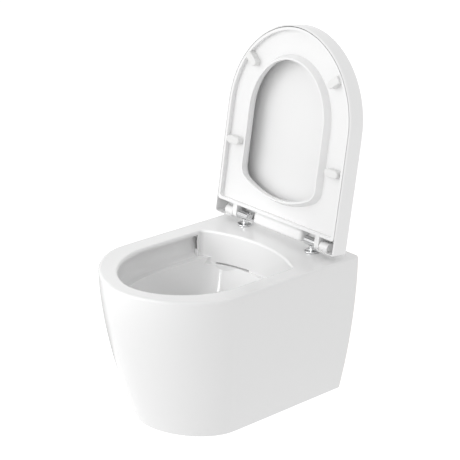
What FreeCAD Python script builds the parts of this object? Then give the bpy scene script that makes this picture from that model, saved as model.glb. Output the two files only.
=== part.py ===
import FreeCAD, Part
import math
import os

# Wall hung toilet: a hollow vitreous china pan with a seat and a lid that swing on two chromed
# hinge posts. Millimetres, +Z up, the wall is the plane y = 0, the front of the pan looks to -Y
# and +X is on the right as seen from the front. The origin is midway between the two wall fixings.

# Wall connections
FIXING_SPACING = 180.0
FIXING_DROP = 80.0
OUTLET_DROP = 100.0
INLET_RISE = 35.0
INLET_BORE_R = 27.5
OUTLET_R = 51.0
OUTLET_BORE_R = 42.5
OUTLET_RECESS = 8.0
OUTLET_LENGTH = 50.0
ROD_HOLE_R = 6.5

# Outside of the pan
PAN_WIDTH = 370.0
PAN_LENGTH = 484.0
PAN_HEIGHT = 320.0
SIDE_DRAW = 45.6
SIDE_DRAW_POWER = 1.84
FRONT_DRAW = 65.7
FRONT_DRAW_POWER = 1.74
NOSE_LENGTH = 155.0
NOSE_POWER = 1.81
RIM_EDGE_R = 6.0
BASE_EDGE_R = 3.0

# Walls of the casting
SKIN = 10.0
FLOOR = 12.0
DECK = 14.0
BACK_WALL = 14.0
BACK_FLANGE = 26.0
BACK_SILL = 36.0

# Bowl and flush channel
RIM_SIDE = 44.0
RIM_FRONT = 33.0
DECK_LENGTH = 108.0
OPENING_NOSE = 154.0
OPENING_POWER = 1.89
OPENING_BACK_R = 280.0
OPENING_CORNER_R = 8.0
OPENING_EDGE_R = 5.0
RIM_LIP = 9.0
BAND_RECESS = 13.0
BAND_DEPTH = 59.0
LEDGE = 8.0
LEDGE_R = 10.0
BACK_LEDGE = 1.0
BOWL_SIDE_POWER = 1.3
BOWL_FRONT_POWER = 1.2
BOWL_BACK_POWER = 1.1
BOWL_BACK_SQUARENESS = 6.0
OVAL_POWER = 2.0
SUMP_HALF_WIDTH = 50.0
SUMP_FRONT = 318.0
SUMP_BACK = 214.0
SHIELD = 8.0
SHIELD_DEPTH = 73.0
SHIELD_END = 157.0
POCKET_INSET = 16.0
CHANNEL = 16.0
CHANNEL_WALL = 8.0
FLUSH_SLIT = 3.5
FLUSH_SLIT_START = 30.0
FLUSH_SLIT_END = 112.0
SIDE_SLOT = 9.0
SIDE_SLOT_WALL = 3.0
SIDE_SLOT_TOP = 15.0
SIDE_SLOT_HEIGHT = 28.0

# Water trap
TRAP_START = 285.0
TRAP_RISE_START = 245.0
TRAP_HALF_WIDTH = 48.0
TRAP_HALF_HEIGHT = 22.0
TRAP_CLIMB = 60.0
TRAP_WALL = 8.0
NECK_WALL = 4.5

# Hinge line
HINGE_X = 104.0
HINGE_Y = -55.4
HINGE_HEIGHT = 22.0
HINGE_HOLE_R = 8.0
BARREL_R = 9.6
BARREL_LENGTH = 31.0
BARREL_BORE_R = 7.0
CAP_LENGTH = 4.0
CAP_RECESS = 0.6
NECK_R = 4.8
NECK_WAIST_SHARE = 0.3
FOOT_R = 7.0
FOOT_HEIGHT = 4.0
ROSETTE_R = 16.0
ROSETTE_HEIGHT = 2.6
ROSETTE_EDGE_R = 1.2
GASKET_HEIGHT = 1.0
GASKET_INSET = 0.8
STUD_R = 3.0
STUD_DEPTH = 44.0
STUD_GRIP = 6.0
SLEEVE_BULGE_R = 10.5
SLEEVE_BULGE = 14.0
SLEEVE_BULGE_EDGE_R = 3.5
NUT_LENGTH = 9.0
NUT_R = 7.5
NUT_TIP_R = 5.0

# Soft close dampers and bearings
SHAFT_R = 4.0
SHAFT_FLAT = 3.2
SHAFT_TIP_R = 3.1
SHAFT_END_GAP = 3.0
CHAMBER_R = 5.4
CHAMBER_WALL = 2.5
GLAND_LENGTH = 4.0
GLAND_RECESS = 1.0
BUSH_WALL = 1.6

# Seat and lid, given as they lie closed over the pan
OPEN_ANGLE = 99.0
EDGE_HEIGHT = 5.7
HINGE_TO_LID_BACK = 10.4
LID_WIDTH = 366.0
LID_OVERHANG = 3.0
LID_HEIGHT = 40.0
LID_WALL = 3.2
LID_PANEL = 4.2
LID_NOSE = 192.0
LID_POWER = 1.94
LID_TOP_R = 5.0
LID_CORNER_R = 8.0
LID_BACK_R = 5.0
LID_BAR = 28.0
LID_BAR_HALF_WIDTH = 75.0
LID_BAR_SET = 12.6
LID_BAR_END_R = 10.0
LID_BAR_EDGE_R = 9.0
LID_NOTCH_HEIGHT = 27.0
KNUCKLE_R = 10.0
KNUCKLE_LENGTH = 23.0
KNUCKLE_WEB = 14.0
KNUCKLE_GAP = 1.5
SEAT_GAP = 1.5
SEAT_BACK = 32.0
SEAT_THICKNESS = 22.0
SEAT_TOP_R = 7.0
SEAT_CORNER_R = 7.0
SEAT_RIDGE = 6.0
SEAT_RECESS = 10.0
HOLE_HALF_WIDTH = 109.5
HOLE_BACK = 76.0
HOLE_LENGTH = 294.0
HOLE_NOSE = 122.0
HOLE_BACK_R = 210.0
HOLE_CORNER_R = 28.0
HOLE_TOP_R = 18.0
LIP_DROP = 4.5
LIP_WIDTH = 4.0
LIP_SLOPE = 7.0
ARM_R = 10.0
ARM_WIDTH = 12.5
ARM_GAP = 1.0

# Buffers under the seat and under the lid
BUFFER_LENGTH = 38.0
BUFFER_WIDTH = 17.0
BUFFER_EDGE_R = 2.5
BUFFER_LIFT = 0.3
SEAT_BUFFER_BACK_INSET = 34.0
SEAT_BUFFER_BACK_Y = 168.0
SEAT_BUFFER_FRONT_INSET = 59.0
SEAT_BUFFER_FRONT_Y = 350.0
SEAT_BUFFER_FRONT_TURN = 38.0
LID_BUFFER_R = 6.0
LID_BUFFER_EDGE_R = 1.2
LID_BUFFER_BACK_INSET = 38.0
LID_BUFFER_BACK_Y = 100.0
LID_BUFFER_FRONT_INSET = 71.0
LID_BUFFER_FRONT_Y = 372.0

# Concealed wall fixings
FIXING_SLEEVE_R = 12.0
FIXING_FLANGE_R = 17.0
FIXING_FLANGE = 4.0
ANCHOR_WIDTH = 34.0
ANCHOR_HEIGHT = 32.0
ANCHOR_LENGTH = 30.0
ANCHOR_EDGE_R = 4.0
CLAMP_R = 4.0
CLAMP_LENGTH = 26.0
CLAMP_HEAD_R = 6.5
CLAMP_HEAD = 8.0
CLAMP_SOCKET_R = 3.0
CLAMP_SOCKET_DEPTH = 5.0
CLAMP_TIP_GAP = 0.4

# Clearances
FIT = 0.03
RUNNING = 0.05
LOOSE = 0.3

# Curve steps, and how far cutting tools run past the faces they cut
CURVE_DEGREE = 3
OUTLINE_STEPS = 24
SIDE_STEPS = 3
PAN_SECTIONS = 6
BOWL_SECTIONS = 5
EGG_POINTS = 24
TRAP_STEPS = 2
MARGIN = 40.0
OVERCUT = 1.0
TOUCH = 0.01

# Places worked out from the sizes above
RIM_Z = FIXING_DROP
BASE_Z = RIM_Z - PAN_HEIGHT
TRAP_LOW_Z = BASE_Z + FLOOR + TRAP_HALF_HEIGHT
HINGE_Z = RIM_Z + HINGE_HEIGHT
EDGE_Z = RIM_Z + EDGE_HEIGHT
LID_TOP_Z = EDGE_Z + LID_HEIGHT
LID_BACK_Y = HINGE_Y + HINGE_TO_LID_BACK
LID_FRONT_Y = -PAN_LENGTH - LID_OVERHANG
SEAT_TOP_Z = EDGE_Z + SEAT_THICKNESS
SEAT_FLOOR_Z = EDGE_Z + SEAT_RECESS
BARREL_IN = HINGE_X - BARREL_LENGTH / 2
BARREL_OUT = HINGE_X + BARREL_LENGTH / 2
ARM_IN = BARREL_OUT + ARM_GAP
ARM_OUT = ARM_IN + ARM_WIDTH
KNUCKLE_IN = ARM_OUT + KNUCKLE_GAP
KNUCKLE_OUT = KNUCKLE_IN + KNUCKLE_LENGTH
SHAFT_END = KNUCKLE_OUT - SHAFT_END_GAP
BUSH_R = SHAFT_R + RUNNING + BUSH_WALL
GLAND_OUT = BARREL_OUT - GLAND_RECESS
CHAMBER_END = GLAND_OUT - GLAND_LENGTH
DAMPER_IN = BARREL_IN + CAP_RECESS + CAP_LENGTH
CHAMBER_IN = DAMPER_IN + CHAMBER_WALL

X_AXIS = FreeCAD.Vector(1, 0, 0)
Y_AXIS = FreeCAD.Vector(0, 1, 0)
Z_AXIS = FreeCAD.Vector(0, 0, 1)
ORIGIN = FreeCAD.Vector(0, 0, 0)


def point(x, y, z):
    return FreeCAD.Vector(x, y, z)


def line(a, b):
    return Part.LineSegment(a, b).toShape()


def box(low, high):
    """A box between two opposite corners."""
    size = high - low
    return Part.makeBox(size.x, size.y, size.z, low)


def rod_x(radius, start, end):
    """A round bar along the hinge axis from one x to another."""
    return Part.makeCylinder(radius, end - start, point(start, HINGE_Y, HINGE_Z), X_AXIS)


def post_z(radius, bottom, top):
    """A round bar along the right hinge post's upright axis."""
    return Part.makeCylinder(radius, top - bottom, point(HINGE_X, HINGE_Y, bottom), Z_AXIS)


def bar_y(radius, x, z, start, end):
    """A round bar that runs square to the wall."""
    return Part.makeCylinder(radius, end - start, point(x, start, z), Y_AXIS)


def signed_power(value, power):
    return math.copysign(abs(value) ** power, value)


def bow_curve(half_width, front_y, back_y, length, power, z):
    """The straight sides and the rounded front of an outline, from back right to back left."""
    side_y = front_y + length
    points = []
    for step in range(SIDE_STEPS):
        points.append(point(half_width, back_y + (side_y - back_y) * step / SIDE_STEPS, z))
    for step in range(OUTLINE_STEPS + 1):
        angle = math.pi * step / OUTLINE_STEPS
        x = half_width * signed_power(math.cos(angle), 2 / power)
        y = front_y + length * (1 - abs(math.sin(angle)) ** (2 / power))
        points.append(point(x, y, z))
    for right in reversed(points[:SIDE_STEPS]):
        points.append(point(-right.x, right.y, right.z))
    curve = Part.BSplineCurve()
    curve.buildFromPoles(points, False, CURVE_DEGREE)
    return curve.toShape()


def dee_wire(half_width, front_y, back_y, length, power, z):
    """A D seen from above: straight back and sides, and a rounded front."""
    back = line(point(-half_width, back_y, z), point(half_width, back_y, z))
    return Part.Wire([back, bow_curve(half_width, front_y, back_y, length, power, z)])


def prism(wire, height):
    return Part.Face(wire).extrude(point(0, 0, height))


def behind(along):
    """All the room between the wall and an upright plane in front of it."""
    return box(point(-PAN_WIDTH, -along, BASE_Z), point(PAN_WIDTH, 0, RIM_Z + MARGIN))


def upright_edges(shape, y):
    """The straight upright edges of a prism that stand at one y."""
    found = []
    for edge in shape.Edges:
        ends = [vertex.Point for vertex in edge.Vertexes]
        if len(ends) == 2 and abs(ends[0].z - ends[1].z) > TOUCH:
            if all(abs(end.y - y) < TOUCH for end in ends):
                found.append(edge)
    return found


def arched_prism(bow, back_r, corner_r, height):
    """A prism with a bow shaped front, an arched back and rounded back corners."""
    half_width, front_y, back_y, length, power, z = bow
    side_back = back_y - back_r + math.sqrt(back_r ** 2 - half_width ** 2)
    back = Part.Arc(point(-half_width, side_back, z), point(0, back_y, z),
                    point(half_width, side_back, z)).toShape()
    front = bow_curve(half_width, front_y, side_back, length, power, z)
    solid = prism(Part.Wire([back, front]), height)
    return solid.makeFillet(corner_r, upright_edges(solid, side_back))


def level_edges(shape, z):
    """The edges that lie flat at one height."""
    return [edge for edge in shape.Edges
            if abs(edge.BoundBox.ZMin - z) < TOUCH and abs(edge.BoundBox.ZMax - z) < TOUCH]


def opening_edges(shape, z, half_width, front_y, back_y):
    """The edges round an opening in a level face, picked by the room that the opening takes."""
    found = []
    for edge in level_edges(shape, z):
        room = edge.BoundBox
        if max(room.XMax, -room.XMin) < half_width + OVERCUT:
            if room.YMin > front_y - OVERCUT and room.YMax < back_y + OVERCUT:
                found.append(edge)
    return found


def cut_all(shape, tools):
    for tool in tools:
        shape = shape.cut(tool)
    return shape


def mirrored(shape):
    return shape.mirror(ORIGIN, X_AXIS)


def raised(shape):
    """A seat or lid shape turned from closed to fully open."""
    turned = shape.copy()
    turned.rotate(point(0, HINGE_Y, HINGE_Z), X_AXIS, -OPEN_ANGLE)
    return turned


# The pan

def pan_wire(depth, inset, back_y):
    """The pan's outline at a depth below its rim, drawn in by a wall."""
    share = depth / PAN_HEIGHT
    half_width = PAN_WIDTH / 2 - SIDE_DRAW * share ** SIDE_DRAW_POWER - inset
    front_y = -PAN_LENGTH + FRONT_DRAW * share ** FRONT_DRAW_POWER + inset
    length = NOSE_LENGTH * half_width / (PAN_WIDTH / 2)
    return dee_wire(half_width, front_y, back_y, length, NOSE_POWER, RIM_Z - depth)


def pan_form(top_depth, bottom_depth, inset, back_y):
    """The pan's tapered form between two depths."""
    wires = []
    for step in range(PAN_SECTIONS):
        depth = top_depth + (bottom_depth - top_depth) * step / (PAN_SECTIONS - 1)
        wires.append(pan_wire(depth, inset, back_y))
    return Part.makeLoft(wires, True, False)


def pan_outside():
    form = pan_form(0, PAN_HEIGHT, 0, MARGIN)
    far = PAN_WIDTH
    form = form.cut(box(point(-far, 0, BASE_Z - MARGIN), point(far, 2 * MARGIN, RIM_Z + MARGIN)))
    for z, radius in ((RIM_Z, RIM_EDGE_R), (BASE_Z, BASE_EDGE_R)):
        edges = [edge for edge in level_edges(form, z) if edge.BoundBox.YMin < -TOUCH]
        form = form.makeFillet(radius, edges)
    return form


def opening_prism(grow, top_depth, bottom_depth):
    """The bowl's opening below the rim, grown outward."""
    half_width = PAN_WIDTH / 2 - RIM_SIDE + grow
    front_y = -PAN_LENGTH + RIM_FRONT - grow
    length = OPENING_NOSE * half_width / (half_width - grow)
    bow = (half_width, front_y, -DECK_LENGTH + grow, length, OPENING_POWER, RIM_Z - bottom_depth)
    return arched_prism(bow, OPENING_BACK_R + grow, OPENING_CORNER_R + grow, bottom_depth - top_depth)


def bowl_mouth():
    """The bowl above its ledge: the opening, and the band set back under the rim round its front."""
    band = opening_prism(BAND_RECESS, RIM_LIP, BAND_DEPTH)
    band = band.makeFillet(LEDGE_R, level_edges(band, RIM_Z - BAND_DEPTH))
    return opening_prism(0, -MARGIN, BAND_DEPTH), band.cut(behind(SHIELD_END))


def shield_pocket():
    """The deeper part of the bowl in front of the shield, between the ends of the ledge."""
    half_width = PAN_WIDTH / 2 - RIM_SIDE - POCKET_INSET
    front_y = -PAN_LENGTH + RIM_FRONT
    bow = (half_width, front_y, -DECK_LENGTH, OPENING_NOSE, OPENING_POWER, RIM_Z - SHIELD_DEPTH)
    pocket = arched_prism(bow, OPENING_BACK_R, OPENING_CORNER_R, SHIELD_DEPTH - DECK)
    return pocket.common(behind(SHIELD_END))


def egg_wire(half_width, front_y, back_y, back_power, z):
    """A closed smooth outline that is round at the front and squarer at the back."""
    middle = (front_y + back_y) / 2
    reach = (back_y - front_y) / 2
    points = []
    for step in range(EGG_POINTS):
        angle = 2 * math.pi * step / EGG_POINTS
        power = back_power if math.sin(angle) > 0 else OVAL_POWER
        x = half_width * signed_power(math.cos(angle), 2 / power)
        y = middle + reach * signed_power(math.sin(angle), 2 / power)
        points.append(point(x, y, z))
    curve = Part.BSplineCurve()
    curve.buildFromPoles(points, True, CURVE_DEGREE)
    return Part.Wire([curve.toShape()])


def funnel(grow):
    """The bowl below its ledge, falling to the sump."""
    top_half = PAN_WIDTH / 2 - RIM_SIDE - LEDGE
    top_front = -PAN_LENGTH + RIM_FRONT + LEDGE
    top_back = -DECK_LENGTH - BACK_LEDGE
    floor_depth = PAN_HEIGHT - FLOOR
    wires = []
    for step in range(BOWL_SECTIONS):
        share = step / (BOWL_SECTIONS - 1)
        depth = BAND_DEPTH + (floor_depth - BAND_DEPTH) * share
        half_width = top_half + (SUMP_HALF_WIDTH - top_half) * share ** BOWL_SIDE_POWER + grow
        front_y = top_front + (-SUMP_FRONT - top_front) * share ** BOWL_FRONT_POWER - grow
        back_y = top_back + (-SUMP_BACK - top_back) * share ** BOWL_BACK_POWER + grow
        back_power = BOWL_BACK_SQUARENESS + (OVAL_POWER - BOWL_BACK_SQUARENESS) * share
        wires.append(egg_wire(half_width, front_y, back_y, back_power, RIM_Z - depth))
    return Part.makeLoft(wires, True, False)


def trap_section(along, up, tilt, half_width, half_height):
    """One oval section of the trap, square to its path."""
    centre = point(0, along, up)
    side = centre + point(half_width, 0, 0)
    crown = centre + point(0, -math.sin(tilt), math.cos(tilt)) * half_height
    return Part.Wire([Part.Ellipse(side, crown, centre).toShape()])


def trap_path():
    """The trap's middle line as (y, z, tilt): along the sump floor, up and level to the outlet."""
    climb = math.radians(TRAP_CLIMB)
    radius = (-OUTLET_DROP - TRAP_LOW_Z) / (2 * (1 - math.cos(climb)))
    end_y = -TRAP_RISE_START + 2 * radius * math.sin(climb)
    stations = [(-TRAP_START, TRAP_LOW_Z, 0.0), (-TRAP_RISE_START, TRAP_LOW_Z, 0.0)]
    for step in range(1, TRAP_STEPS + 1):
        angle = climb * step / TRAP_STEPS
        rise = radius * (1 - math.cos(angle))
        stations.append((-TRAP_RISE_START + radius * math.sin(angle), TRAP_LOW_Z + rise, angle))
    for step in range(TRAP_STEPS - 1, -1, -1):
        angle = climb * step / TRAP_STEPS
        rise = radius * (1 - math.cos(angle))
        stations.append((end_y - radius * math.sin(angle), -OUTLET_DROP - rise, angle))
    return stations


def trap(grow):
    """The trap passage, from flat and wide in the sump to round at the outlet."""
    wires = []
    for along, up, tilt in trap_path():
        share = (up - TRAP_LOW_Z) / (-OUTLET_DROP - TRAP_LOW_Z)
        half_width = TRAP_HALF_WIDTH + (OUTLET_BORE_R - TRAP_HALF_WIDTH) * share + grow
        half_height = TRAP_HALF_HEIGHT + (OUTLET_BORE_R - TRAP_HALF_HEIGHT) * share + grow
        wires.append(trap_section(along, up, tilt, half_width, half_height))
    return Part.makeLoft(wires, True, False)


def flush_channel(grow):
    """The space that the flush fills behind the shield and round its ends, and its neck to the inlet."""
    outer = opening_prism(SHIELD + CHANNEL + grow, DECK - grow, SHIELD_DEPTH + grow)
    inner = opening_prism(SHIELD - grow, DECK - grow, SHIELD_DEPTH + grow)
    ring = outer.cut(inner).common(behind(SHIELD_END - SHIELD + grow))
    neck = bar_y(INLET_BORE_R + grow, 0, INLET_RISE, -DECK_LENGTH + SHIELD + CHANNEL / 2, 0)
    return ring.fuse(neck)


def side_slots():
    """The upright slots at the shield's ends that send the flush along the band round the bowl."""
    start = PAN_WIDTH / 2 - RIM_SIDE + SIDE_SLOT_WALL
    top_z = RIM_Z - SIDE_SLOT_TOP
    slot = box(point(start, -SHIELD_END - OVERCUT, top_z - SIDE_SLOT_HEIGHT),
               point(start + SIDE_SLOT, -SHIELD_END + 2 * SHIELD, top_z))
    return slot.fuse(mirrored(slot))


def flush_slits():
    """The two slits under the shield's lower edge, one on each side of its middle."""
    slit = opening_prism(SHIELD + CHANNEL / 2, SHIELD_DEPTH - FLUSH_SLIT, SHIELD_DEPTH)
    slit = slit.common(box(point(FLUSH_SLIT_START, -SHIELD_END, BASE_Z), point(FLUSH_SLIT_END, 0, RIM_Z)))
    return slit.fuse(mirrored(slit))


def pan_hollow():
    """The space between the skin and the bowl, open to the wall at the back."""
    hollow = pan_form(DECK, PAN_HEIGHT - FLOOR, SKIN, -BACK_WALL)
    half_width = PAN_WIDTH / 2 - SIDE_DRAW - BACK_FLANGE
    hollow = hollow.fuse(box(point(-half_width, -2 * BACK_WALL, BASE_Z + BACK_FLANGE),
                             point(half_width, 0, -BACK_SILL)))
    bosses = [opening_prism(BAND_RECESS + SKIN, 0, BAND_DEPTH + SKIN), funnel(SKIN), trap(TRAP_WALL)]
    bosses += [opening_prism(SKIN, 0, SHIELD_DEPTH + SKIN).common(behind(SHIELD_END + SKIN))]
    bosses += [flush_channel(CHANNEL_WALL)]
    neck_start = trap_path()[-1][0] - OVERCUT
    bosses += [bar_y(OUTLET_BORE_R + NECK_WALL, 0, -OUTLET_DROP, neck_start, -OUTLET_RECESS)]
    bosses += [bar_y(OUTLET_R, 0, -OUTLET_DROP, -OUTLET_RECESS - OUTLET_LENGTH, -OUTLET_RECESS)]
    return cut_all(hollow, bosses)


def ceramic_pan():
    """The fired casting: skin, rim, bowl, flush channel, trap and outlet in one piece."""
    bowl = funnel(0).common(opening_prism(-BACK_LEDGE, DECK, PAN_HEIGHT))
    voids = [pan_hollow(), *bowl_mouth(), shield_pocket(), bowl, trap(0)]
    voids += [flush_channel(0), side_slots(), flush_slits()]
    voids += [bar_y(OUTLET_BORE_R, 0, -OUTLET_DROP, trap_path()[-1][0], 0)]
    hinge_hole = post_z(HINGE_HOLE_R, RIM_Z - DECK - SKIN, RIM_Z + MARGIN)
    fixing_hole = bar_y(FIXING_SLEEVE_R + FIT, FIXING_SPACING / 2, 0, -2 * BACK_WALL, MARGIN)
    for hole in (hinge_hole, fixing_hole):
        voids += [hole, mirrored(hole)]
    pan = cut_all(pan_outside(), voids)
    edges = opening_edges(pan, RIM_Z, PAN_WIDTH / 2 - RIM_SIDE, -PAN_LENGTH + RIM_FRONT, -DECK_LENGTH)
    return pan.makeFillet(OPENING_EDGE_R, edges)


# The wall fixings, right side

def fixing_sleeve():
    """A plastic sleeve in the back wall that centres the wall's threaded rod."""
    x = FIXING_SPACING / 2
    sleeve = bar_y(FIXING_SLEEVE_R, x, 0, -BACK_WALL, 0)
    sleeve = sleeve.fuse(bar_y(FIXING_FLANGE_R, x, 0, -BACK_WALL - FIXING_FLANGE, -BACK_WALL))
    return sleeve.cut(bar_y(ROD_HOLE_R, x, 0, -2 * BACK_WALL, MARGIN))


def fixing_anchor():
    """The cast block behind the wall that grips the rod."""
    x = FIXING_SPACING / 2
    back = -BACK_WALL - FIXING_FLANGE
    block = box(point(x - ANCHOR_WIDTH / 2, back - ANCHOR_LENGTH, -ANCHOR_HEIGHT / 2),
                point(x + ANCHOR_WIDTH / 2, back, ANCHOR_HEIGHT / 2))
    block = block.makeFillet(ANCHOR_EDGE_R, upright_edges(block, back - ANCHOR_LENGTH))
    block = block.cut(bar_y(ROD_HOLE_R, x, 0, back - ANCHOR_LENGTH - MARGIN, back + MARGIN))
    return block.cut(Part.makeCylinder(CLAMP_R + FIT, ANCHOR_HEIGHT,
                                       point(x, back - ANCHOR_LENGTH / 2, 0), Z_AXIS))


def clamp_screw():
    """The socket screw that clamps the anchor to its rod from above."""
    x = FIXING_SPACING / 2
    y = -BACK_WALL - FIXING_FLANGE - ANCHOR_LENGTH / 2
    bottom = ROD_HOLE_R + CLAMP_TIP_GAP
    top = bottom + CLAMP_LENGTH
    screw = Part.makeCylinder(CLAMP_R, CLAMP_LENGTH, point(x, y, bottom), Z_AXIS)
    screw = screw.fuse(Part.makeCylinder(CLAMP_HEAD_R, CLAMP_HEAD, point(x, y, top), Z_AXIS))
    socket = Part.makeCylinder(CLAMP_SOCKET_R, CLAMP_SOCKET_DEPTH,
                               point(x, y, top + CLAMP_HEAD - CLAMP_SOCKET_DEPTH), Z_AXIS)
    return screw.cut(socket)


# The hinge posts, right side

def rosette_gasket():
    ring = post_z(ROSETTE_R - GASKET_INSET, RIM_Z, RIM_Z + GASKET_HEIGHT)
    return ring.cut(post_z(NECK_R + LOOSE, RIM_Z, RIM_Z + GASKET_HEIGHT))


def hinge_rosette():
    """The chromed disc that covers the hinge hole."""
    bottom = RIM_Z + GASKET_HEIGHT
    top = bottom + ROSETTE_HEIGHT
    disc = post_z(ROSETTE_R, bottom, top)
    disc = disc.makeFillet(ROSETTE_EDGE_R, level_edges(disc, top))
    return disc.cut(post_z(NECK_R + FIT, bottom, top))


def hinge_post():
    """The chromed casting: a waisted neck on the rosette and a level barrel."""
    bottom = RIM_Z + GASKET_HEIGHT
    foot = bottom + ROSETTE_HEIGHT
    waist = foot + FOOT_HEIGHT
    x, y = HINGE_X, HINGE_Y
    curve = Part.Arc(point(x + FOOT_R, y, foot),
                     point(x + NECK_R + (FOOT_R - NECK_R) * NECK_WAIST_SHARE, y,
                           foot + FOOT_HEIGHT * NECK_WAIST_SHARE),
                     point(x + NECK_R, y, waist)).toShape()
    profile = Part.Wire([line(point(x, y, bottom), point(x + NECK_R, y, bottom)),
                         line(point(x + NECK_R, y, bottom), point(x + NECK_R, y, foot)),
                         line(point(x + NECK_R, y, foot), point(x + FOOT_R, y, foot)),
                         curve,
                         line(point(x + NECK_R, y, waist), point(x + NECK_R, y, HINGE_Z)),
                         line(point(x + NECK_R, y, HINGE_Z), point(x, y, HINGE_Z)),
                         line(point(x, y, HINGE_Z), point(x, y, bottom))])
    neck = Part.Face(profile).revolve(point(x, y, 0), Z_AXIS, 360)
    barrel = rod_x(BARREL_R, BARREL_IN, BARREL_OUT)
    ends = [edge for edge in barrel.Edges if edge.BoundBox.XLength < TOUCH]
    barrel = barrel.makeFillet(CAP_RECESS, ends)
    post = barrel.fuse(neck).cut(rod_x(BARREL_BORE_R, BARREL_IN - OVERCUT, BARREL_OUT + OVERCUT))
    return post.cut(post_z(STUD_R + FIT, bottom, bottom + STUD_GRIP))


def hinge_cap():
    """The chromed plug in the barrel's inner end."""
    start = BARREL_IN + CAP_RECESS
    return rod_x(BARREL_BORE_R - FIT, start, start + CAP_LENGTH)


def hinge_stud():
    """The threaded stud from the post down through the deck."""
    return post_z(STUD_R, RIM_Z - STUD_DEPTH, RIM_Z + GASKET_HEIGHT + STUD_GRIP)


def stud_sleeve():
    """The rubber sleeve that swells under the deck as its nut is drawn up."""
    bulge_top = RIM_Z - DECK - LOOSE
    bulge_bottom = bulge_top - SLEEVE_BULGE
    sleeve = post_z(HINGE_HOLE_R - LOOSE, bulge_bottom, RIM_Z)
    bulge = post_z(SLEEVE_BULGE_R, bulge_bottom, bulge_top)
    bulge = bulge.makeFillet(SLEEVE_BULGE_EDGE_R, level_edges(bulge, bulge_top))
    return sleeve.fuse(bulge).cut(post_z(STUD_R + FIT, bulge_bottom, RIM_Z))


def stud_nut():
    """The conical nut at the stud's lower end."""
    top = RIM_Z - DECK - LOOSE - SLEEVE_BULGE
    nut = Part.makeCone(NUT_R, NUT_TIP_R, NUT_LENGTH, point(HINGE_X, HINGE_Y, top), -Z_AXIS)
    return nut.cut(post_z(STUD_R + FIT, top - NUT_LENGTH, top))


# The soft close dampers, right side

def damper_body():
    """The cartridge in the barrel, with the oil chamber that its rotor turns in."""
    body = rod_x(BARREL_BORE_R - FIT, DAMPER_IN, CHAMBER_END)
    return body.cut(rod_x(CHAMBER_R, CHAMBER_IN, CHAMBER_END))


def damper_gland():
    """The ring that closes the cartridge round its shaft."""
    ring = rod_x(BARREL_BORE_R - FIT, CHAMBER_END, GLAND_OUT)
    return ring.cut(rod_x(SHAFT_R + RUNNING, CHAMBER_END, GLAND_OUT))


def shaft_flat(start, end, clearance):
    """The half space above the flat of a keyed shaft, between two x."""
    low = HINGE_Z + SHAFT_FLAT + clearance
    return box(point(start, HINGE_Y - BUSH_R, low), point(end, HINGE_Y + BUSH_R, low + BUSH_R))


def rotor_head():
    start = CHAMBER_IN + LOOSE
    return rod_x(CHAMBER_R - RUNNING, start, CHAMBER_END - LOOSE), start


def lid_rotor():
    """The damper shaft that is keyed to the lid's knuckle."""
    head, start = rotor_head()
    rotor = head.fuse(rod_x(SHAFT_R, start, SHAFT_END))
    return rotor.cut(shaft_flat(KNUCKLE_IN, SHAFT_END, 0))


def seat_rotor():
    """The damper shaft that is keyed to the seat's arm and carries the lid on its round tip."""
    head, start = rotor_head()
    rotor = head.fuse(rod_x(SHAFT_R, start, ARM_OUT))
    rotor = rotor.cut(shaft_flat(ARM_IN, ARM_OUT, 0))
    return rotor.fuse(rod_x(SHAFT_TIP_R, start, SHAFT_END))


def keyed_hole(start, end):
    """The hole that fits a shaft with a flat."""
    return rod_x(SHAFT_R + FIT, start, end).cut(shaft_flat(start, end, FIT))


def plain_bush(bore_r, start, end):
    """A plain bearing pressed into an arm or a knuckle."""
    return rod_x(bore_r + BUSH_WALL, start, end).cut(rod_x(bore_r, start, end))


def seat_bush():
    """The bearing in the left arm, in which the lid's shaft turns."""
    return plain_bush(SHAFT_R + RUNNING, ARM_IN, ARM_OUT)


def lid_bush():
    """The bearing in the right knuckle, which turns on the tip of the seat's shaft."""
    return plain_bush(SHAFT_TIP_R + RUNNING, KNUCKLE_IN, KNUCKLE_OUT - SHAFT_END_GAP / 2)


# The seat, closed

def seat_hole(grow, z, height):
    """The seat's opening, grown outward, as a prism."""
    half_width = HOLE_HALF_WIDTH + grow
    back_y = LID_BACK_Y - HOLE_BACK + grow
    front_y = LID_BACK_Y - HOLE_BACK - HOLE_LENGTH - grow
    bow = (half_width, front_y, back_y, HOLE_NOSE + grow, OVAL_POWER, z)
    return arched_prism(bow, HOLE_BACK_R + grow, HOLE_CORNER_R + grow, height)


def seat_outline(inset, z, height):
    """The seat's outer form, drawn in by an inset, as a prism."""
    half_width = LID_WIDTH / 2 - LID_WALL - SEAT_GAP - inset
    front_y = LID_FRONT_Y + LID_WALL + SEAT_GAP + inset
    back_y = LID_BACK_Y - SEAT_BACK - inset
    length = LID_NOSE * half_width / (LID_WIDTH / 2)
    return prism(dee_wire(half_width, front_y, back_y, length, LID_POWER, z), height), back_y


def seat_recess(low):
    """The shallow space under the seat, inside its outer ridge."""
    recess, back_y = seat_outline(SEAT_RIDGE, low, SEAT_FLOOR_Z - low)
    return recess.makeFillet(SEAT_CORNER_R, upright_edges(recess, back_y))


def lip_form():
    """The lip round the seat's opening, widening from its lower edge up to the recess."""
    low_z = EDGE_Z - LIP_DROP
    wires = []
    for grow, z in ((LIP_WIDTH, low_z), (LIP_WIDTH + LIP_SLOPE, SEAT_FLOOR_Z)):
        wires.append(Part.Wire(Part.sortEdges(level_edges(seat_hole(grow, z, OVERCUT), z))[0]))
    return Part.makeLoft(wires, True, True)


def seat_arm():
    """The right arm, from the seat's back edge to a round eye on the hinge axis."""
    back_y = LID_BACK_Y - SEAT_BACK
    bar = box(point(ARM_IN, back_y - SEAT_RIDGE, HINGE_Z - ARM_R), point(ARM_OUT, HINGE_Y, SEAT_TOP_Z))
    return bar.fuse(rod_x(ARM_R, ARM_IN, ARM_OUT))


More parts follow.
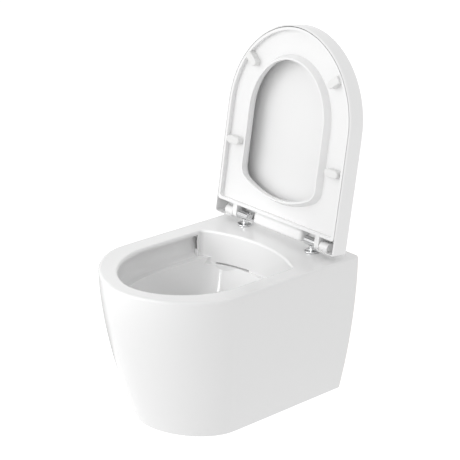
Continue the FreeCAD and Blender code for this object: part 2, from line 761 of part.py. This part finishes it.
def seat_ring():
    """The seat: a thick ring, hollowed underneath, with two arms to the hinges."""
    ring, back_y = seat_outline(0, EDGE_Z, SEAT_THICKNESS)
    ring = ring.makeFillet(SEAT_CORNER_R, upright_edges(ring, back_y))
    ring = ring.makeFillet(SEAT_TOP_R, level_edges(ring, SEAT_TOP_Z))
    lip = lip_form()
    ring = ring.cut(seat_recess(EDGE_Z).cut(lip)).fuse(lip)
    ring = ring.cut(seat_hole(0, EDGE_Z - LIP_DROP - OVERCUT, SEAT_THICKNESS + LIP_DROP + 2 * OVERCUT))
    hole_back_y = LID_BACK_Y - HOLE_BACK
    ring = ring.makeFillet(HOLE_TOP_R, opening_edges(ring, SEAT_TOP_Z, HOLE_HALF_WIDTH,
                                                     hole_back_y - HOLE_LENGTH, hole_back_y))
    arm = seat_arm()
    left = mirrored(arm).cut(rod_x(BUSH_R + FIT, -ARM_OUT, -ARM_IN))
    right = arm.cut(keyed_hole(ARM_IN, ARM_OUT))
    return ring.fuse(left).fuse(right)


def seat_buffer(x, along, turn):
    """A soft pad that bridges the recess and meets the rim when the seat is down."""
    low = RIM_Z + BUFFER_LIFT
    y = LID_BACK_Y - along
    radius = BUFFER_WIDTH / 2
    straight = BUFFER_LENGTH / 2 - radius
    pad = box(point(x - straight, y - radius, low), point(x + straight, y + radius, SEAT_FLOOR_Z))
    for end in (x - straight, x + straight):
        pad = pad.fuse(Part.makeCylinder(radius, SEAT_FLOOR_Z - low, point(end, y, low), Z_AXIS))
    pad = pad.removeSplitter()
    pad = pad.makeFillet(BUFFER_EDGE_R, level_edges(pad, low))
    pad.rotate(point(x, y, low), Z_AXIS, turn)
    return pad.common(seat_recess(low)).cut(lip_form())


# The lid, closed

def lid_outline(inset, z, height):
    half_width = LID_WIDTH / 2 - inset
    length = LID_NOSE * half_width / (LID_WIDTH / 2)
    wire = dee_wire(half_width, LID_FRONT_Y + inset, LID_BACK_Y - inset, length, LID_POWER, z)
    solid = prism(wire, height)
    return solid.makeFillet(LID_CORNER_R - inset, upright_edges(solid, LID_BACK_Y - inset))


def lid_knuckle():
    """The right knuckle on the hinge axis, with the web that joins it to the lid."""
    knuckle = rod_x(KNUCKLE_R, KNUCKLE_IN, KNUCKLE_OUT)
    web = box(point(KNUCKLE_IN, HINGE_Y - KNUCKLE_WEB / 2, HINGE_Z),
              point(KNUCKLE_OUT, HINGE_Y + KNUCKLE_WEB / 2, LID_TOP_Z - LID_PANEL / 2))
    return knuckle.fuse(web)


def lid_bar():
    """The solid bar between the hinges that stiffens the lid's back edge."""
    low = EDGE_Z + LID_BAR_SET
    bar = box(point(-LID_BAR_HALF_WIDTH, LID_BACK_Y - LID_BAR, low),
              point(LID_BAR_HALF_WIDTH, LID_BACK_Y, LID_TOP_Z - LID_PANEL / 2))
    ends = upright_edges(bar, LID_BACK_Y) + upright_edges(bar, LID_BACK_Y - LID_BAR)
    bar = bar.makeFillet(LID_BAR_END_R, ends)
    return bar.makeFillet(LID_BAR_EDGE_R, level_edges(bar, low))


def lid_shell():
    """The lid: a shallow shell with a skirt, a bar along its back edge and two knuckles."""
    form = lid_outline(0, EDGE_Z, LID_HEIGHT)
    form = form.makeFillet(LID_TOP_R, level_edges(form, LID_TOP_Z))
    back_low = [e for e in level_edges(form, EDGE_Z) if e.BoundBox.YMin > LID_BACK_Y - TOUCH]
    form = form.makeFillet(LID_BACK_R, back_low)
    inside = lid_outline(LID_WALL, EDGE_Z - OVERCUT, LID_HEIGHT - LID_PANEL + OVERCUT)
    top_z = LID_TOP_Z - LID_PANEL
    inside = inside.makeFillet(LID_TOP_R - LID_PANEL, level_edges(inside, top_z))
    shell = form.cut(inside)
    notch = box(point(-KNUCKLE_IN, LID_BACK_Y - LID_BAR, EDGE_Z - OVERCUT),
                point(KNUCKLE_IN, LID_BACK_Y + OVERCUT, EDGE_Z + LID_NOTCH_HEIGHT))
    shell = shell.cut(notch).fuse(lid_bar().common(form))
    knuckle = lid_knuckle()
    shell = shell.fuse(knuckle).fuse(mirrored(knuckle))
    shell = shell.cut(mirrored(keyed_hole(KNUCKLE_IN, SHAFT_END + FIT)))
    bush_hole = rod_x(SHAFT_TIP_R + RUNNING + BUSH_WALL + FIT, KNUCKLE_IN,
                      KNUCKLE_OUT - SHAFT_END_GAP / 2)
    return shell.cut(bush_hole).removeSplitter()


def lid_buffer(x, along):
    """A small round pad inside the lid that meets the seat."""
    top = LID_TOP_Z - LID_PANEL
    low = SEAT_TOP_Z + BUFFER_LIFT
    pad = Part.makeCylinder(LID_BUFFER_R, top - low, point(x, LID_BACK_Y - along, low), Z_AXIS)
    return pad.makeFillet(LID_BUFFER_EDGE_R, level_edges(pad, low))


# All the pieces

def pieces():
    """Each node's name and shape, in the order in which the toilet is put together."""
    found = {"ceramic_pan": ceramic_pan()}
    fixed_pairs = [("fixing_sleeve", fixing_sleeve), ("fixing_anchor", fixing_anchor),
                   ("clamp_screw", clamp_screw), ("rosette_gasket", rosette_gasket),
                   ("hinge_rosette", hinge_rosette), ("hinge_post", hinge_post),
                   ("hinge_cap", hinge_cap), ("hinge_stud", hinge_stud),
                   ("stud_sleeve", stud_sleeve), ("stud_nut", stud_nut),
                   ("damper_body", damper_body), ("damper_gland", damper_gland)]
    for name, make in fixed_pairs:
        shape = make()
        found[name + "_right"] = shape
        found[name + "_left"] = mirrored(shape)
    found["seat_rotor"] = raised(seat_rotor())
    found["lid_rotor"] = raised(mirrored(lid_rotor()))
    found["seat_ring"] = raised(seat_ring())
    found["seat_bush"] = raised(mirrored(seat_bush()))
    found["lid_shell"] = raised(lid_shell())
    found["lid_bush"] = raised(lid_bush())
    seat_pads = [("back", SEAT_BUFFER_BACK_INSET, SEAT_BUFFER_BACK_Y, 0.0),
                 ("front", SEAT_BUFFER_FRONT_INSET, SEAT_BUFFER_FRONT_Y, -SEAT_BUFFER_FRONT_TURN)]
    for place, inset, along, turn in seat_pads:
        pad = seat_buffer(LID_WIDTH / 2 - inset, along, turn)
        found["seat_buffer_" + place + "_right"] = raised(pad)
        found["seat_buffer_" + place + "_left"] = raised(mirrored(pad))
    lid_pads = [("back", LID_BUFFER_BACK_INSET, LID_BUFFER_BACK_Y),
                ("front", LID_BUFFER_FRONT_INSET, LID_BUFFER_FRONT_Y)]
    for place, inset, along in lid_pads:
        pad = lid_buffer(LID_WIDTH / 2 - inset, along)
        found["lid_buffer_" + place + "_right"] = raised(pad)
        found["lid_buffer_" + place + "_left"] = raised(mirrored(pad))
    return found


os.makedirs("parts", exist_ok=True)
for node, shape in pieces().items():
    shape.exportStep("parts/" + node + ".step")
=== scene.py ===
import math
import bpy
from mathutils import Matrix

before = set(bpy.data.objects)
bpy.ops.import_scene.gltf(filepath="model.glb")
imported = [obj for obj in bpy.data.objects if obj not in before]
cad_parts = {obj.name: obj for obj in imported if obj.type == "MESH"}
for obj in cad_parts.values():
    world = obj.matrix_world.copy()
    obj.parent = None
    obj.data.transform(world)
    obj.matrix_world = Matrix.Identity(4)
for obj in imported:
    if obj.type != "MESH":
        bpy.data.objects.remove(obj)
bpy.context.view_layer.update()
bpy.ops.object.select_all(action="DESELECT")

# The pan is one casting of vitreous china. It is dipped in white glaze, which fires to a hard gloss
# with a faint ripple, and it stays bare and matt on the back face that was wiped for the wall.
GLAZE_WHITE = (0.775, 0.775, 0.775, 1.0)
BARE_CHINA = (0.80, 0.775, 0.73, 1.0)
GLAZE_ROUGHNESS = 0.18
BARE_ROUGHNESS = 0.75
GLAZE_TONE = 0.014
BARE_TONE = 0.056
GLAZE_CLOUD_SIZE = 9.0
GLAZE_RIPPLE_SIZE = 34.0
GLAZE_RIPPLE_HEIGHT = 0.00006
WIPED_DEPTH = 0.0012
CLOUD_DETAIL = 3.0
CLOUD_RANGE = (0.3, 0.7)
NOISE_MIDDLE = 0.5
EVEN_TONE = 1.0
RELIEF_DETAIL = 2.0
ROUGHNESS_SWING = 0.2
MIX_FACTOR = 0
MIX_VALUE_A, MIX_VALUE_B, MIX_VALUE_OUT = 2, 3, 0
MIX_COLOUR_A, MIX_COLOUR_B, MIX_COLOUR_OUT = 6, 7, 2


def new_material(name):
    """A material with its node tree, its Principled shader and its object coordinates."""
    material = bpy.data.materials.new(name)
    material.use_nodes = True
    tree = material.node_tree
    shader = tree.nodes["Principled BSDF"]
    place = tree.nodes.new("ShaderNodeTexCoord").outputs["Object"]
    return material, tree, shader, place


def socket(tree, side, name, kind):
    """A named input or output of a node group."""
    tree.interface.new_socket(name=name, in_out=side, socket_type="NodeSocket" + kind)


def cloudy_group():
    """Soft clouds of slightly lighter and darker tone, as in any fired, moulded or cast surface."""
    tree = bpy.data.node_groups.new("cloudy_tone", "ShaderNodeTree")
    socket(tree, "INPUT", "Place", "Vector")
    socket(tree, "INPUT", "Colour", "Color")
    socket(tree, "INPUT", "Size", "Float")
    socket(tree, "INPUT", "Amount", "Float")
    socket(tree, "OUTPUT", "Colour", "Color")
    socket(tree, "OUTPUT", "Cloud", "Float")
    inside = tree.nodes.new("NodeGroupInput")
    out = tree.nodes.new("NodeGroupOutput")
    noise = tree.nodes.new("ShaderNodeTexNoise")
    noise.inputs["Detail"].default_value = CLOUD_DETAIL
    centre = tree.nodes.new("ShaderNodeMath")
    centre.operation = "SUBTRACT"
    centre.inputs[1].default_value = NOISE_MIDDLE
    swing = tree.nodes.new("ShaderNodeMath")
    swing.operation = "MULTIPLY_ADD"
    swing.inputs[2].default_value = EVEN_TONE
    scale = tree.nodes.new("ShaderNodeVectorMath")
    scale.operation = "SCALE"
    tree.links.new(inside.outputs["Place"], noise.inputs["Vector"])
    tree.links.new(inside.outputs["Size"], noise.inputs["Scale"])
    tree.links.new(noise.outputs["Fac"], centre.inputs[0])
    tree.links.new(centre.outputs[0], swing.inputs[0])
    tree.links.new(inside.outputs["Amount"], swing.inputs[1])
    tree.links.new(inside.outputs["Colour"], scale.inputs[0])
    tree.links.new(swing.outputs[0], scale.inputs["Scale"])
    tree.links.new(scale.outputs[0], out.inputs["Colour"])
    tree.links.new(noise.outputs["Fac"], out.inputs["Cloud"])
    return tree


def relief_group():
    """A fine uneven relief: glaze ripple, mould grain or cast skin, by its size and height."""
    tree = bpy.data.node_groups.new("fine_relief", "ShaderNodeTree")
    socket(tree, "INPUT", "Place", "Vector")
    socket(tree, "INPUT", "Size", "Float")
    socket(tree, "INPUT", "Height", "Float")
    socket(tree, "OUTPUT", "Height", "Float")
    inside = tree.nodes.new("NodeGroupInput")
    out = tree.nodes.new("NodeGroupOutput")
    noise = tree.nodes.new("ShaderNodeTexNoise")
    noise.inputs["Detail"].default_value = RELIEF_DETAIL
    raise_by = tree.nodes.new("ShaderNodeMath")
    raise_by.operation = "MULTIPLY"
    tree.links.new(inside.outputs["Place"], noise.inputs["Vector"])
    tree.links.new(inside.outputs["Size"], noise.inputs["Scale"])
    tree.links.new(noise.outputs["Fac"], raise_by.inputs[0])
    tree.links.new(inside.outputs["Height"], raise_by.inputs[1])
    tree.links.new(raise_by.outputs[0], out.inputs["Height"])
    return tree


CLOUDY = cloudy_group()
RELIEF = relief_group()


def add_clouds(tree, place, colour, size, amount):
    """The cloudy tone placed in a material; gives its colour and its mask."""
    clouds = tree.nodes.new("ShaderNodeGroup")
    clouds.node_tree = CLOUDY
    clouds.inputs["Colour"].default_value = colour
    clouds.inputs["Size"].default_value = size
    clouds.inputs["Amount"].default_value = amount
    tree.links.new(place, clouds.inputs["Place"])
    return clouds.outputs["Colour"], clouds.outputs["Cloud"]


def add_relief(tree, place, size, height):
    """The fine relief placed in a material as a bump; gives the bump's normal."""
    relief = tree.nodes.new("ShaderNodeGroup")
    relief.node_tree = RELIEF
    relief.inputs["Size"].default_value = size
    relief.inputs["Height"].default_value = height
    bump = tree.nodes.new("ShaderNodeBump")
    bump.inputs["Distance"].default_value = 1.0
    tree.links.new(place, relief.inputs["Place"])
    tree.links.new(relief.outputs["Height"], bump.inputs["Height"])
    return bump.outputs["Normal"]


def gloss_by_cloud(tree, cloud, roughness):
    """A roughness that wanders a little with the clouds."""
    wander = tree.nodes.new("ShaderNodeMapRange")
    wander.inputs["From Min"].default_value = CLOUD_RANGE[0]
    wander.inputs["From Max"].default_value = CLOUD_RANGE[1]
    wander.inputs["To Min"].default_value = roughness * (1 - ROUGHNESS_SWING)
    wander.inputs["To Max"].default_value = roughness * (1 + ROUGHNESS_SWING)
    tree.links.new(cloud, wander.inputs["Value"])
    return wander.outputs["Result"]


def glazed_china():
    """White glaze, and bare china where the back was wiped before firing."""
    material, tree, shader, place = new_material("glazed_china")
    glaze, cloud = add_clouds(tree, place, GLAZE_WHITE, GLAZE_CLOUD_SIZE, GLAZE_TONE)
    bare = add_clouds(tree, place, BARE_CHINA, GLAZE_RIPPLE_SIZE, BARE_TONE)[0]
    apart = tree.nodes.new("ShaderNodeSeparateXYZ")
    wiped = tree.nodes.new("ShaderNodeMath")
    wiped.operation = "GREATER_THAN"
    wiped.inputs[1].default_value = -WIPED_DEPTH
    tone = tree.nodes.new("ShaderNodeMix")
    tone.data_type = "RGBA"
    rough = tree.nodes.new("ShaderNodeMix")
    rough.inputs[MIX_VALUE_B].default_value = BARE_ROUGHNESS
    tree.links.new(place, apart.inputs[0])
    tree.links.new(apart.outputs["Y"], wiped.inputs[0])
    tree.links.new(wiped.outputs[0], tone.inputs[MIX_FACTOR])
    tree.links.new(wiped.outputs[0], rough.inputs[MIX_FACTOR])
    tree.links.new(glaze, tone.inputs[MIX_COLOUR_A])
    tree.links.new(bare, tone.inputs[MIX_COLOUR_B])
    tree.links.new(gloss_by_cloud(tree, cloud, GLAZE_ROUGHNESS), rough.inputs[MIX_VALUE_A])
    tree.links.new(tone.outputs[MIX_COLOUR_OUT], shader.inputs["Base Color"])
    tree.links.new(rough.outputs[MIX_VALUE_OUT], shader.inputs["Roughness"])
    tree.links.new(add_relief(tree, place, GLAZE_RIPPLE_SIZE, GLAZE_RIPPLE_HEIGHT), shader.inputs["Normal"])
    return material


def dress(node, material):
    """One finish all over a CAD piece."""
    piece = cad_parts[node]
    piece.data.materials.clear()
    piece.data.materials.append(material)


dress("ceramic_pan", glazed_china())

# The seat and the lid are pressed from white thermoset plastic. It comes out of the mould with an even
# gloss, about that of the glaze, and a very fine skin. Both hang on the hinge line.


def plain_finish(name, colour, roughness, tone, cloud_size, grain_size, grain_height, metallic=0.0):
    """A solid finish with clouds in its tone and gloss and a fine relief."""
    material, tree, shader, place = new_material(name)
    shader.inputs["Metallic"].default_value = metallic
    cloud_colour, cloud = add_clouds(tree, place, colour, cloud_size, tone)
    tree.links.new(cloud_colour, shader.inputs["Base Color"])
    tree.links.new(gloss_by_cloud(tree, cloud, roughness), shader.inputs["Roughness"])
    tree.links.new(add_relief(tree, place, grain_size, grain_height), shader.inputs["Normal"])
    return material


MOULDED_WHITE = plain_finish("moulded_white", colour=(0.835, 0.835, 0.835, 1.0), roughness=0.2, tone=0.012,
                             cloud_size=12.0, grain_size=900.0, grain_height=0.000002)
for node in ("seat_ring", "lid_shell"):
    dress(node, MOULDED_WHITE)

# Four pads under the seat keep it off the rim, and four small ones keep the lid off the seat. They are
# moulded in white elastomer, satin and slightly warm in tone, and pushed into the plastic.
PAD_WHITE = plain_finish("pad_white", colour=(0.76, 0.76, 0.755, 1.0), roughness=0.42, tone=0.02,
                         cloud_size=60.0, grain_size=1400.0, grain_height=0.000006)
for row in ("back", "front"):
    for side in ("_left", "_right"):
        dress("seat_buffer_" + row + side, PAD_WHITE)
        dress("lid_buffer_" + row + side, PAD_WHITE)

# Two hinge posts with rosettes stand on the deck. They are die cast and chromium plated to a mirror.
# The caps that close their barrels have the same plating over a blasted, satin face.
CHROME = plain_finish("chrome_plate", colour=(0.74, 0.745, 0.75, 1.0), roughness=0.06, tone=0.03,
                      cloud_size=80.0, grain_size=400.0, grain_height=0.000003, metallic=1.0)
SATIN_CHROME = plain_finish("satin_chrome", colour=(0.93, 0.93, 0.935, 1.0), roughness=0.4, tone=0.03,
                            cloud_size=80.0, grain_size=400.0, grain_height=0.000003, metallic=1.0)
for side in ("_left", "_right"):
    dress("hinge_rosette" + side, CHROME)
    dress("hinge_post" + side, CHROME)
    dress("hinge_cap" + side, SATIN_CHROME)

# Each post is held from above by a zinc plated steel stud in a grey rubber sleeve, which a brass nut
# squeezes against the hole. A gasket of the same rubber lies under the rosette.
STEEL = plain_finish("zinc_plated_steel", colour=(0.62, 0.63, 0.64, 1.0), roughness=0.28, tone=0.08,
                     cloud_size=120.0, grain_size=700.0, grain_height=0.00001, metallic=1.0)
GREY_RUBBER = plain_finish("grey_rubber", colour=(0.22, 0.22, 0.23, 1.0), roughness=0.65, tone=0.12,
                           cloud_size=80.0, grain_size=900.0, grain_height=0.00002)
BRASS = plain_finish("turned_brass", colour=(0.76, 0.6, 0.32, 1.0), roughness=0.25, tone=0.06,
                     cloud_size=100.0, grain_size=800.0, grain_height=0.00001, metallic=1.0)
for side in ("_left", "_right"):
    dress("hinge_stud" + side, STEEL)
    dress("stud_sleeve" + side, GREY_RUBBER)
    dress("stud_nut" + side, BRASS)
    dress("rosette_gasket" + side, GREY_RUBBER)

# A soft close damper sits in each barrel: a black plastic cartridge and gland with a steel shaft, one
# keyed to the lid and one to the seat. Nylon bushes carry the part that only turns on a shaft.
DARK_PLASTIC = plain_finish("dark_plastic", colour=(0.05, 0.05, 0.055, 1.0), roughness=0.4, tone=0.1,
                            cloud_size=80.0, grain_size=900.0, grain_height=0.00001)
NYLON = plain_finish("natural_nylon", colour=(0.84, 0.84, 0.80, 1.0), roughness=0.4, tone=0.04,
                     cloud_size=60.0, grain_size=900.0, grain_height=0.00001)
for side in ("_left", "_right"):
    dress("damper_body" + side, DARK_PLASTIC)
    dress("damper_gland" + side, DARK_PLASTIC)
for turning in ("lid", "seat"):
    dress(turning + "_rotor", STEEL)
    dress(turning + "_bush", NYLON)

# The concealed wall fixings: a nylon sleeve in each hole of the back face, and behind it an anchor of
# cast zinc that a steel screw clamps to the rod in the wall.
CAST_ZINC = plain_finish("cast_zinc", colour=(0.55, 0.56, 0.57, 1.0), roughness=0.45, tone=0.12,
                         cloud_size=90.0, grain_size=500.0, grain_height=0.00003, metallic=1.0)
for side in ("_left", "_right"):
    dress("fixing_sleeve" + side, NYLON)
    dress("fixing_anchor" + side, CAST_ZINC)
    dress("clamp_screw" + side, STEEL)

# The studio's room: a white floor well below the part and an even white surround. Both are white to
# the eye and in mirrors, and light the part a little less than that.
WHITE = (1.0, 1.0, 1.0, 1.0)
FLOOR_Z = -0.95
FLOOR_SIZE = 14.0
FLOOR_WHITE = (0.95, 0.95, 0.95, 1.0)
FLOOR_ROUGHNESS = 0.9
FLOOR_GLOW = 0.25
SURROUND_LIGHT = 0.88
SURROUND_SEEN = 1.0


def background_level(tree, unseen_level, seen_level):
    """One level for rays that see the background itself, another for rays that only carry its light."""
    ray = tree.nodes.new("ShaderNodeLightPath")
    seen = ray.outputs["Is Camera Ray"]
    for kind in ("Is Glossy Ray", "Is Transmission Ray"):
        either = tree.nodes.new("ShaderNodeMath")
        either.operation = "MAXIMUM"
        tree.links.new(seen, either.inputs[0])
        tree.links.new(ray.outputs[kind], either.inputs[1])
        seen = either.outputs[0]
    level = tree.nodes.new("ShaderNodeMapRange")
    level.inputs["To Min"].default_value = unseen_level
    level.inputs["To Max"].default_value = seen_level
    tree.links.new(seen, level.inputs["Value"])
    return level.outputs["Result"]


bpy.ops.mesh.primitive_plane_add(size=FLOOR_SIZE, location=(0, 0, FLOOR_Z))
floor = bpy.context.object
floor.name = "studio_floor"
floor_paint = bpy.data.materials.new("floor_paint")
floor_paint.use_nodes = True
floor_tree = floor_paint.node_tree
floor_shader = floor_tree.nodes["Principled BSDF"]
floor_shader.inputs["Base Color"].default_value = FLOOR_WHITE
floor_shader.inputs["Roughness"].default_value = FLOOR_ROUGHNESS
floor_shader.inputs["Emission Color"].default_value = WHITE
floor_tree.links.new(background_level(floor_tree, 0.0, FLOOR_GLOW), floor_shader.inputs["Emission Strength"])
floor.data.materials.append(floor_paint)

world = bpy.data.worlds.new("studio_surround")
bpy.context.scene.world = world
world.use_nodes = True
sky = world.node_tree
backdrop = sky.nodes["Background"]
backdrop.inputs["Color"].default_value = WHITE
sky.links.new(background_level(sky, SURROUND_LIGHT, SURROUND_SEEN), backdrop.inputs["Strength"])

# Cards that only show in reflections, each given by its place, width and height. They are painted
# reflections: a black one paints dark shade into the chrome, a grey one a darker reflection on the pan's
# left edge, and two glowing ones painted highlights in the bowl and on the rim.
HINGES = (0.0, -0.055, 0.1)
PAINTED_SHADE_BLACK = (0.02, 0.02, 0.02, 1.0)
PAINTED_REFLECTION_GREY = (0.5, 0.5, 0.5, 1.0)
CHROME_SHADE_CARD = ((-0.95, -0.1, 1.0), 1.2, 0.35)
EDGE_SHADE_CARD = ((-1.5, 0.5, -0.6), 1.6, 1.0)
BOWL_HIGHLIGHT_CARD = ((0.2, -2.4, 1.12), 0.45, 0.22)
BOWL_HIGHLIGHT_GLOW = 18.0
RIM_HIGHLIGHT_CARD = ((-0.5, -1.3, 1.9), 0.6, 0.6)
RIM_HIGHLIGHT_GLOW = 3.5


def look_at(thing, place, target):
    """Puts a card, a lamp or the camera at a place and turns it to its target."""
    gaze = [t - p for t, p in zip(target, place)]
    flat = math.hypot(gaze[0], gaze[1])
    thing.location = place
    thing.rotation_euler = (math.pi / 2 + math.atan2(gaze[2], flat), 0.0, math.atan2(-gaze[0], gaze[1]))


def painted_reflection_card(name, tone, card_box, glow=0.0):
    """A card turned to the hinges that only glossy surfaces see, a painted reflection shining with the given
    strength.
    """
    place, width, height = card_box
    bpy.ops.mesh.primitive_plane_add(size=1.0)
    card = bpy.context.object
    card.name = name
    card.scale = (width, height, 1.0)
    look_at(card, place, HINGES)
    bpy.ops.object.transform_apply(location=True, rotation=True, scale=True)
    paint = bpy.data.materials.new(name + "_paint")
    paint.use_nodes = True
    shader = paint.node_tree.nodes["Principled BSDF"]
    shader.inputs["Base Color"].default_value = tone
    shader.inputs["Roughness"].default_value = 1.0
    shader.inputs["Emission Strength"].default_value = glow
    card.data.materials.append(paint)
    card.visible_camera = False
    card.visible_diffuse = False
    card.visible_shadow = False
    card.visible_transmission = False


# Painted shade: a black card seen only as a dark reflection in the chrome.
painted_reflection_card("chrome_painted_shade_card", PAINTED_SHADE_BLACK, CHROME_SHADE_CARD)
# Painted shade: a grey card seen only as a darker reflection on the pan's left edge.
painted_reflection_card("edge_painted_shade_card", PAINTED_REFLECTION_GREY, EDGE_SHADE_CARD)
# Painted highlight: a glowing card seen only as a reflection in the bowl's glaze.
painted_reflection_card("bowl_painted_highlight_card", PAINTED_REFLECTION_GREY, BOWL_HIGHLIGHT_CARD, BOWL_HIGHLIGHT_GLOW)
# Painted highlight: a glowing card seen only as reflections on the rim's edges and other glossy faces.
painted_reflection_card("rim_painted_highlight_card", PAINTED_REFLECTION_GREY, RIM_HIGHLIGHT_CARD, RIM_HIGHLIGHT_GLOW)

# Two lamps and the camera. A large soft lamp shines from the front left, and a narrow one without a
# reflection of its own reaches into the bowl. The camera has the photograph's height and angle.
AIM = (0.06921, -0.250, 0.16697)
KEY_PLACE = (-1.35, -3.45, 1.5)
KEY_SIZE = 2.6
KEY_POWER = 46.0
BOWL_LAMP_PLACE = (0.15, -2.4, 1.2)
BOWL_LAMP_AIM = (-0.05, -0.11, 0.03)
BOWL_LAMP_BEAM = math.radians(8.0)
BOWL_LAMP_BLEND = 0.9
BOWL_LAMP_SIZE = 0.1
BOWL_LAMP_POWER = 95.0
CAMERA_PLACE = (2.2729, -2.1860, 1.2977)
LENS = 123.45
SENSOR = 36.0

bpy.ops.object.light_add(type="AREA")
key = bpy.context.object
key.name = "key_lamp"
key.data.size = KEY_SIZE
key.data.energy = KEY_POWER
look_at(key, KEY_PLACE, AIM)

bpy.ops.object.light_add(type="SPOT")
bowl_lamp = bpy.context.object
bowl_lamp.name = "bowl_lamp"
bowl_lamp.data.spot_size = BOWL_LAMP_BEAM
bowl_lamp.data.spot_blend = BOWL_LAMP_BLEND
bowl_lamp.data.shadow_soft_size = BOWL_LAMP_SIZE
bowl_lamp.data.energy = BOWL_LAMP_POWER
bowl_lamp.visible_glossy = False
look_at(bowl_lamp, BOWL_LAMP_PLACE, BOWL_LAMP_AIM)

bpy.ops.object.camera_add()
camera = bpy.context.object
camera.data.lens = LENS
camera.data.sensor_width = SENSOR
look_at(camera, CAMERA_PLACE, AIM)
bpy.context.scene.camera = camera
bpy.context.scene.view_settings.view_transform = "Standard"
